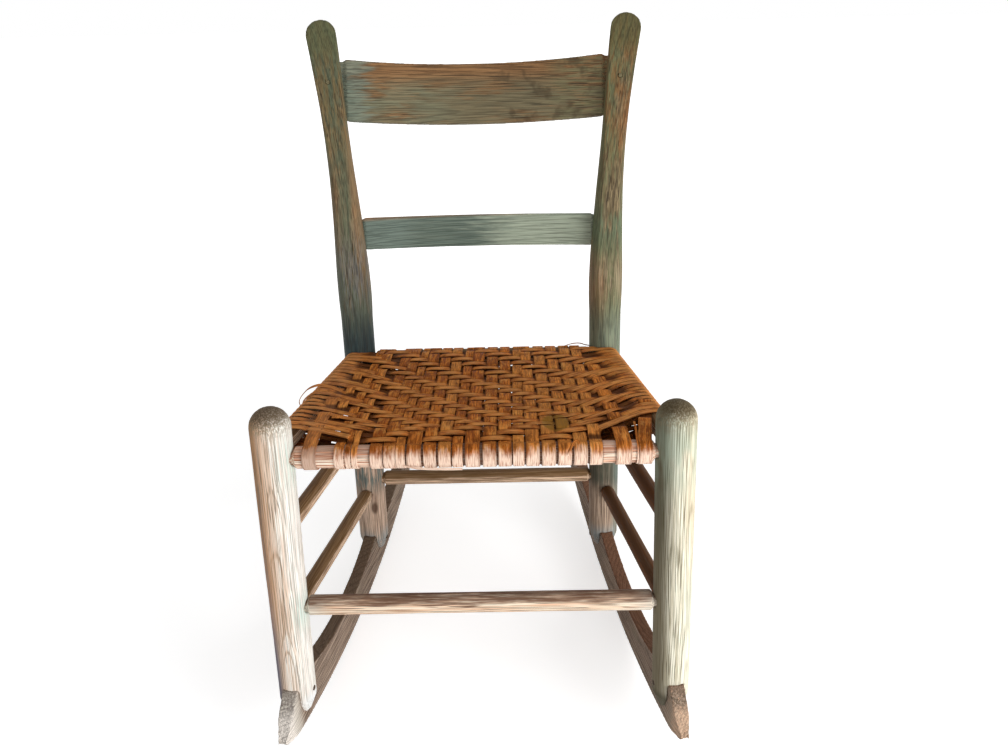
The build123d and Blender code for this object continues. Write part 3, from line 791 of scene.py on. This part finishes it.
# A weft's bow starts and ends at these shares of the way out to the side rails.
bow_starts, bow_ends = 0.48, 1.02
# How far a weft may lie askew, and wander along its way.
weft_tilt, weft_wander = 0.0006, 0.0007
# How far apart wefts would lie before the first and behind the last.
weft_before = 0.0115
weft_behind = 0.0145
# Where the first weft goes round each side rail, and how far apart they all do.
weft_ends = {"left": (0.04, 0.01075), "right": (0.066, 0.0096)}
widest_weft = 0.0108
narrow_at_rail = 0.88
first_weft = 100
# Each warp's middle on the front rail and its width in mm, and its turn in the twill. Numbers
# 3 and 4 are one that split. Short ones fill the corners, and go that far back, in mm.
warps = (
    (-178, 15.5, 1), (-162, 11.5, 0), (-145.5, 10.5, 1), (-135.9, 5.8, 2), (-128.7, 6.6, 2),
    (-105.4, 13.6, 3), (-91, 13.4, 4), (-79.1, 9.8, 5), (-64.5, 15.6, 6), (-47.3, 13.6, 7),
    (-31.3, 13.8, 8), (-17.4, 11.2, 9), (-1.3, 15.8, 10), (17.2, 14.8, 11), (33.9, 14.2, 12),
    (48.7, 12.2, 13), (63.9, 14.6, 14), (81.3, 15, 15), (98.6, 14.6, 16), (115.6, 14.8, 17),
    (132.3, 13.8, 18), (162.2, 17, 19), (185.6, 15, 21), (177.4, 2.4, 20),
)
short_warps = {0: 150, 1: 210, 21: 245, 22: 100, 23: 60}
corner_warp, late_warp, split_warp, thin_warp = 0, 1, (3, 4), 23
late_warp_starts = 0.062
# The corner warp stays on top before these, and the split warp's halves get wider by that.
corner_warp_dips = (0.04, 0.055)
split_warp_spreads = 0.0009
fuller_below = 1.1
warp_slant = {21: -0.05, 22: 0.165, 23: 0.06}
warp_turn = 0.0165
# The turns of the outermost warps, which lie free on the rail before the first weft.
free_left = (0.45, 1.5)
free_right = 18.2
luck = random.Random(7)
weft_wobble = [[luck.uniform(-1, 1) for k in range(3)] for row in range(weft_rows)]
warp_drift = [luck.uniform(-3.0, 3.0) for warp in warps]
warp_drift[split_warp[0]] = warp_drift[split_warp[1]]


def ease_between(value, start, end):
    """0 before start, 1 past end, smooth between."""
    share = min(max((value - start) / (end - start), 0.0), 1.0)
    return share * share * (3 - 2 * share)


def side_rail_x(y):
    """How far out the side rail's axis is."""
    return side_rail_front - side_rail_slant * y


def weft_at_rail(row, x):
    """Where a weft goes round a side rail; the left ones start further forward."""
    start, gap = weft_ends["left" if x < 0 else "right"]
    return start + gap * row


def weft_y(row, x):
    """Where a weft lies: bowed to the front in its middle, crowded together at its ends."""
    at_rail = weft_at_rail(row, x)
    in_middle = weft_middles[row] / 1000
    spread = ease_between(abs(x) / side_rail_x(at_rail), bow_starts, bow_ends)
    tilt, size, start = weft_wobble[row]
    wobble = weft_tilt * tilt * x / 0.2 + weft_wander * size * sin(x * 38 + 3 * start)
    return in_middle + (at_rail - in_middle) * spread + wobble * (1 - spread)


def counted(places, value, before, behind):
    """A value's count among places of known counts, with a gap to go by past either end."""
    if value <= places[0][0]:
        return places[0][1] + (value - places[0][0]) / before
    for (start, count), (end, next_count) in zip(places, places[1:]):
        if value <= end:
            return count + (next_count - count) * (value - start) / (end - start)
    return places[-1][1] + (value - places[-1][0]) / behind


def weft_count_at(x, y):
    """How many wefts lie before y, with the part of the next."""
    places = [(weft_y(row, x), row) for row in range(weft_rows)]
    return counted(places, y, weft_before, weft_behind)


def warp_x(number, y):
    """A warp's middle at y; none runs quite straight back."""
    drift = warp_drift[number] * (y / seat_depth) ** 2
    return (warps[number][0] + drift) / 1000 + warp_slant.get(number, 0.0) * y


def turn_at(x, y):
    """A place's turn in the twill, counted over the warps and between them."""
    places = [(warp_x(n, y), warps[n][2]) for n in range(thin_warp)
              if n not in (late_warp, split_warp[0])]
    return counted(places, x, warp_turn, warp_turn)


def weave(turn, row, sharp=2.2):
    """1 where the warp is on top, -1 where the weft is, and quick to change between them.

    Up to the turning row each row is one warp further to the right, and after it to the left.
    """
    shift = row if row < turning_row else 2 * turning_row - row
    squared = sin(pi / 2 * (turn - shift - 0.5)) * sharp
    smooth = squared / sqrt(1 + squared * squared) * sqrt(1 + 1 / (sharp * sharp))
    if free_left[0] < turn < free_left[1] or turn > free_right:
        free = 1 - 2 * ease_between(row, -1.6, -0.6)
        return free + (smooth - free) * ease_between(row, 0.35, 0.9)
    return smooth


def seat_level(x, y, top):
    """The middle of the weave: it comes in from the rails, and sags a little."""
    level = top_plane if top else bottom_plane
    rail = rail_height + (wrap_radius if top else -wrap_radius)
    inside = ease_between(y, 0.0, comes_in_over) * ease_between(seat_depth - y, 0.0, comes_in_over)
    sag = 0.0
    if top:
        sag = seat_sag * (1 - (x / seat_half_width) ** 2) * sin(pi * min(max(y / seat_depth, 0), 1))
    return rail + (level - rail) * inside - sag


class Strip:
    """The middle line of one splint: its width, the way it faces and how far up it lies."""

    def __init__(self, number, closed=True):
        self.number, self.closed, self.places = number, closed, []

    def add(self, point, face, width, up=1.0):
        self.places.append((Vector(point), Vector(face), width, up))

    def flat_run(self, start, end, top, width):
        """A warp's run from start to end on one face of the seat."""
        number = self.number
        count = max(int(abs(end - start) / step), 2)
        for k in range(count + 1):
            y = start + (end - start) * k / count
            x = warp_x(number, y)
            turn = 0.0 if number == corner_warp else warps[number][2]
            up = weave(turn, weft_count_at(x, y))
            if number == corner_warp:
                up = 1 - (1 - up) * ease_between(y, *corner_warp_dips)
            up = up if top else -up
            fade = ease_between(y, -0.002, 0.01) * ease_between(seat_depth - y, -0.002, 0.012)
            full = width
            if number in split_warp:
                full += split_warp_spreads * ease_between(y, 0.012, 0.03)
            z = seat_level(x, y, top) + up * warp_wave * fade
            self.add((x, y, z), (0, 0, 1 if top else -1), full, 1 - (1 - up) * fade)

    def wrap(self, centre, across, start, end, width):
        """A half turn round a rail's centre, across its length, between two angles."""
        for k in range(1, wrap_parts):
            angle = start + (end - start) * k / wrap_parts
            out = Vector(across) * cos(angle) + Vector((0, 0, sin(angle)))
            self.add(Vector(centre) + out * wrap_radius, out, width)

    def wrap_warp(self, y, start, end, width):
        """A warp's half turn round the front or back rail."""
        self.wrap((warp_x(self.number, y), y, rail_height), (0, 1, 0), start, end, width)


def warp_strip(number):
    """One warp: closed round both rails, or short with both ends tucked in the weave."""
    width, reach = warps[number][1] / 1000, short_warps.get(number, 0) / 1000
    strip = Strip(number, closed=not reach)
    if number == late_warp:
        strip.flat_run(late_warp_starts, reach, True, width)
    elif not reach:
        strip.flat_run(0.0, seat_depth, True, width)
        strip.wrap_warp(seat_depth, pi / 2, -pi / 2, width)
        strip.flat_run(seat_depth, 0.0, False, width * fuller_below)
        strip.wrap_warp(0.0, 3 * pi / 2, pi / 2, width)
    else:
        strip.flat_run(reach, 0.0, True, width)
        strip.wrap_warp(0.0, pi / 2, 3 * pi / 2, width)
        strip.flat_run(0.0, reach, False, width)
    return strip


def weft_strip(row):
    """One weft: over the seat, round the right side rail, back below it and round the left."""
    strip = Strip(first_weft + row)
    before, after = max(row - 1, 0), min(row + 1, weft_rows - 1)
    pitch = (weft_middles[after] - weft_middles[before]) / (after - before) / 1000
    width = min(0.9 * pitch, widest_weft) * luck.uniform(0.92, 1.06)
    for top in (True, False):
        way = 1 if top else -1
        ends = [side_rail_x(weft_at_rail(row, side)) for side in (-way, way)]
        count = int(sum(ends) / step)
        for k in range(count + 1):
            x = way * (-ends[0] + (ends[0] + ends[1]) * k / count)
            end = side_rail_x(weft_at_rail(row, x))
            y = weft_y(row, x)
            edge = ease_between(end - abs(x), 0.0, comes_in_over)
            up = -way * weave(turn_at(x, y), row, 1.5)
            over_rail = side_rail_height + way * wrap_radius
            level = seat_level(x, y, top)
            z = over_rail + (level - over_rail) * edge
            narrow = 1 - (1 - narrow_at_rail) * (1 - ease_between(end - abs(x), 0.0, 0.06))
            fuller = 1.0 if top else 1.08 + 0.2 * ease_between(abs(x), 0.1, 0.14)
            strip.add((x, y, z + up * weft_wave * edge), (0, 0, way), width * narrow * fuller,
                      1 - (1 - up) * edge)
        centre = (way * ends[1], weft_at_rail(row, way), side_rail_height)
        strip.wrap(centre, (way, 0, 0), way * pi / 2, -way * pi / 2, width * narrow_at_rail)
    return strip


def splint_tree():
    """Geometry nodes that sweep a thin strip with eased edges along each path."""
    tree, taken = new_group("splints", "GeometryNodeTree", {
        "Geometry": "Geometry", "Thickness": "Float", "Usual Width": "Float", "Uneven": "Float",
        "Finish": "Material",
    }, {"Geometry": "Geometry"})

    def named(label, kind="FLOAT"):
        return put(tree, "GeometryNodeInputNamedAttribute", {"Name": label}, data_type=kind)

    run, number, width = named("run"), named("number"), named("width")
    line = put(tree, "GeometryNodeMeshToCurve", {0: taken["Geometry"]})
    facing = {"Curve": line, "Normal": named("face", "FLOAT_VECTOR")}
    facing = put(tree, "GeometryNodeSetCurveNormal", facing, mode="FREE")
    place = put(tree, "ShaderNodeCombineXYZ", {0: run, 1: number})
    full_width = width * ((place.noise(70, 3) - 0.5) * taken["Uneven"] + 1.0)
    # The section is one wide, so that its scale is the splint's width.
    thin = taken["Thickness"] / taken["Usual Width"]
    section = put(tree, "GeometryNodeCurvePrimitiveQuadrilateral", {"Width": thin, "Height": 1.0})
    eased_edges = {"Curve": section, "Radius": 0.03, "Count": 1}
    section = put(tree, "GeometryNodeFilletCurve", eased_edges, mode="POLY")
    section = keep(section, "across", put(tree, "GeometryNodeInputPosition").parts()[1], "FLOAT")
    swept = put(tree, "GeometryNodeCurveToMesh", {
        "Curve": facing, "Profile Curve": section, "Scale": full_width, "Fill Caps": True,
    })
    grain = {0: named("across") * width, 1: number, 2: run}
    kept = keep(swept, "grain", put(tree, "ShaderNodeCombineXYZ", grain))
    hand_over(kept, taken["Finish"], False)
    return tree


def splint_finish():
    """Honey brown on top, each splint its own shade, and bleached pink where it meets the rail."""
    look = Finish("splint")
    x, y, z = look.x, look.y, look.z
    number = look.through
    fibre = look.grain.noise(1000, 2, 0.65, (1, 0.31, 0.05))
    streak = look.grain.noise(380, 3, 0.68, (1, 0.47, 0.08))
    cloud = look.grain.noise(80, 3, 0.65, (1, 3.7, 0.6))
    own = put(look.tree, "ShaderNodeTexWhiteNoise", {"W": number}, noise_dimensions="1D")
    up = put(look.tree, "ShaderNodeAttribute", out=2, attribute_name="up")
    weft = number.ramp(first_weft - 2, first_weft - 1)
    look.streak = streak
    look.colour = streak.ramp(0.4, 0.6).mix((160, 82, 22), (246, 146, 62))
    # painted light: the wefts are laid a lighter tone, as their front faces catch the low lamp
    look.lay(weft, (255, 160, 86), 0.35)
    look.lay(own.ramp(0, 1), (168, 98, 34), 0.45)
    other = (own * 7.3).fraction()
    look.lay(other.ramp(0.5, 1), (128, 58, 26), 0.4)
    look.lay(other.ramp(0.4, 0), (255, 186, 104), 0.25)
    look.lay(cloud.ramp(0.5, 0.66), (255, 178, 92), 0.5)
    look.lay(cloud.ramp(0.47, 0.34), (104, 56, 14), 0.65)
    look.lay(fibre.ramp(0.5, 0.38), (92, 46, 12), 0.6)
    # an olive dab of old paint
    on_bench = put(look.tree, "ShaderNodeCombineXYZ", {0: x, 1: y, 2: z})
    dab_far = ((on_bench - (0.0918, 0.04, 0.0)) * (1, 0.75, 0)).length()
    look.lay(dab_far.ramp(0.0175, 0.0145), (150, 108, 40), 0.85)
    # painted highlight on the raised crests of the wefts
    crest = up.ramp(0.78, 1) * streak.ramp(0.36, 0.56)
    look.lay(crest * weft, (244, 176, 104), 0.4)
    # painted shade where a splint dips under its neighbours
    look.lay(up.ramp(0.55, -0.6), (58, 26, 8), 0.85)
    # bleached round the front rail
    front = z.ramp(0.3925, 0.37) * y.ramp(0.012, -0.004)
    uneven = (streak - 0.5) * 1.3 + (cloud - 0.5) * 1.1 + (own - 0.5) * 0.25
    bleach = (front * 1.1 + uneven).ramp(0.16, 0.88) * front.ramp(0.02, 0.2)
    look.lay(bleach, (255, 226, 204), 0.95)
    look.lay(fibre.ramp(0.5, 0.4) * front.ramp(0.1, 0.5), (176, 104, 66), 0.65)
    # greyer still in the left corner
    corner = x.ramp(-0.166, -0.172)
    grey = (y.ramp(0.006, -0.014) + uneven).ramp(0.3, 0.8)
    look.lay(corner * grey, (184, 158, 144), 0.65)
    look.lay(corner, (226, 166, 120), 0.15)
    # painted shade along the splints' edges, for the dark gaps between them
    edge = abs(look.across)
    look.lay(edge.ramp(0.005, 0.007), (90, 46, 16), 0.35)
    look.lay(weft * edge.ramp(0.003, 0.0044), (90, 46, 16), 0.45)
    return look.close((0.55, 0.78), 0.7, fibre + streak, 0.0007, 0.06)


SPLINTS = splint_tree()


def splint_piece(name, strips, finish, node=None, uneven=0.16, thickness=splint_thickness):
    """Turns strips into one piece of the seat."""
    points, edges, faces = [], [], []
    kept = {"run": [], "number": [], "width": [], "up": []}
    for strip in strips:
        first, run, last = len(points), 0.0, strip.places[0][0]
        for point, face, width, up in strip.places:
            run += (point - last).length
            last = point
            points.append(bench_to_rest @ point)
            faces.extend(bench_to_rest.to_3x3() @ face)
            for values, value in zip(kept.values(), (run, float(strip.number), width, up)):
                values.append(value)
        edges += [(k, k + 1) for k in range(first, len(points) - 1)]
        if strip.closed:
            edges.append((len(points) - 1, first))
    mesh = bpy.data.meshes.new("paths")
    mesh.from_pydata(points, edges, [])
    for label, values in kept.items():
        mesh.attributes.new(label, "FLOAT", "POINT").data.foreach_set("value", values)
    mesh.attributes.new("face", "FLOAT_VECTOR", "POINT").data.foreach_set("vector", faces)
    paths = in_scene("paths", mesh)
    sweep = paths.modifiers.new("splints", "NODES")
    sweep.node_group = SPLINTS
    set_inputs(sweep, {"Thickness": thickness, "Usual Width": usual_width,
                       "Uneven": uneven, "Finish": finish})
    piece = settled(name, paths)
    if node:
        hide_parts(node)
    return piece


splint = splint_finish()
splint_piece("woven_warps", [warp_strip(n) for n in range(len(warps))], splint, "seat_warp")
splint_piece("woven_wefts", [weft_strip(row) for row in range(weft_rows)], splint, "seat_weft")

# ---- loose splints
# Ends that have sprung out of the weave: two thin loops at the left side, a splinter below
# the front rail, and frayed ends on the rail and at the back.
# Each has its number, width, the x and z of the rail that it left, and its places in mm.
loose = (
    (201, 0.004, (-0.2, 0.385), (
        (-163.4, 129.1, 395), (-171.6, 133.5, 397.5), (-185.7, 141.5, 399.5),
        (-199.8, 147.8, 399.5), (-211.1, 141.9, 398), (-217.8, 132.4, 394),
        (-221.4, 125.2, 388), (-219.8, 122.6, 382), (-215.5, 124, 376))),
    (202, 0.0028, (-0.2, 0.385), (
        (-175.2, 125.7, 395.5), (-189.2, 133.5, 397.5), (-201.8, 133.3, 396.5),
        (-210.6, 127.2, 393), (-216.6, 123.4, 387), (-216, 121, 380))),
    (203, 0.0026, (-0.05, 0.38), (
        (-77.3, -13.5, 369.9), (-66.6, -15.2, 367.9), (-55.8, -16, 366.8),
        (-41.9, -16.6, 366.4), (-28.1, -16.6, 366), (-12, -16, 365.6))),
    (204, 0.003, (0.11, 0.38), (
        (101.5, -13.8, 378), (102.8, -14.8, 384), (106.5, -12.5, 390.8),
        (111, -8.5, 393.6), (113.6, -11.5, 391))),
    (205, 0.0042, (0.14, 0.38), (
        (120, 303, 390), (132, 305, 392.6), (142.1, 303, 393.6),
        (149, 301, 392), (157, 299, 391))),
)
# painted shade: the loose strips get a low up value, so the dip shade darkens them for their shaded
# sides
up_for_painted_shade = 0.15


def eased(places, parts=6):
    """Points on a smooth line through the places."""
    ends = [places[0], *places, places[-1]]
    line = []
    for a, b, c, d in zip(ends, ends[1:], ends[2:], ends[3:]):
        a, b, c, d = (Vector(place) / 1000 for place in (a, b, c, d))
        for k in range(parts):
            t = k / parts
            line.append(0.5 * (2 * b + (c - a) * t + (2 * a - 5 * b + 4 * c - d) * t * t
                               + (3 * b - a - 3 * c + d) * t ** 3))
    return line + [Vector(places[-1]) / 1000]


def loose_strip(number, width, rail, places):
    """A sprung strip, whose face looks away from the rail that it left."""
    strip = Strip(number, False)
    line = eased(places)
    for k, point in enumerate(line):
        if abs(rail[0]) > seat_half_width:
            face = Vector((min(point.x - rail[0], 0), -0.012, max(point.z - rail[1], 0.002)))
        else:
            face = Vector((0, -0.8 if point.y < 0.1 else 0.4, 0.5))
        taper = 0.45 + 0.55 * sin(pi * min(k / len(line) * 1.6, 1.0) / 2 + 0.3)
        strip.add(point, face.normalized(), width * min(taper, 1.0), up_for_painted_shade)
    return strip


splint_piece("loose_splints", [loose_strip(*each) for each in loose], splint, None, 0.3, 0.0008)

# ---- floor, backdrop and light
# A white floor that keeps a soft shadow, and lamps in front and to the right, low down, as
# from a wide window.
half = 6.0
floor_mesh = bpy.data.meshes.new("floor")
corners = [(-half, -half, 0), (half, -half, 0), (half, half, 0), (-half, half, 0)]
floor_mesh.from_pydata(corners, [], [(0, 1, 2, 3)])
floor = in_scene("floor", floor_mesh)


def seen_directly(tree):
    """1 for rays that show a surface itself, not the light that it throws on others."""
    rays = put(tree, "ShaderNodeLightPath", out=None)
    seen = rays["Is Camera Ray"].or_more(rays["Is Glossy Ray"])
    return seen.or_more(rays["Is Transmission Ray"])


floor_look = bpy.data.materials.new("floor")
floor_look.use_nodes = True
tree = floor_look.node_tree
ground = tree.nodes["Principled BSDF"]
ground.inputs["Base Color"].default_value = (0.8, 0.8, 0.8, 1)
ground.inputs["Roughness"].default_value = 0.9
# painted shade round the chair: the floor's glow is weaker within 1.5 m of it, whitest further out
whiteness = put(tree, "ShaderNodeTexCoord", out="Object").length().ramp(0.5, 1.5) * 0.4 + 0.6
glow = put(tree, "ShaderNodeEmission", {"Strength": seen_directly(tree) * whiteness})
whole = put(tree, "ShaderNodeAddShader", {0: Value(ground.outputs[0]), 1: glow})
tree.links.new(whole.socket, tree.nodes["Material Output"].inputs[0])
floor_mesh.materials.append(floor_look)

world = bpy.data.worlds.new("studio")
bpy.context.scene.world = world
world.use_nodes = True
tree = world.node_tree
sky = tree.nodes["Background"]
sky.inputs["Color"].default_value = (1, 1, 1, 1)
sky.inputs["Strength"].default_value = 0.4
white = put(tree, "ShaderNodeBackground", {"Color": (1, 1, 1, 1), "Strength": 1.0})
choice = put(tree, "ShaderNodeMixShader",
             {0: seen_directly(tree), 1: Value(sky.outputs[0]), 2: white})
tree.links.new(choice.socket, tree.nodes["World Output"].inputs[0])


def lamp(name, place, target, size, power):
    """A square soft light that looks at target."""
    light = bpy.data.lights.new(name, "AREA")
    light.size = size
    light.energy = power
    thing = in_scene(name, light)
    thing.location = place
    thing.rotation_mode = "QUATERNION"
    thing.rotation_quaternion = (Vector(target) - Vector(place)).to_track_quat("-Z", "Y")


lamp("window", (1.6, -1.25, 0.6), (0, 0, 0.35), 1.0, 35.0)
lamp("fill", (-0.9, -1.9, 0.9), (0, 0, 0.4), 1.2, 4.0)
lamp("back", (0.6, 1.8, 1.6), (0, 0, 0.4), 1.4, 4.0)

bpy.context.scene.view_settings.view_transform = "Standard"
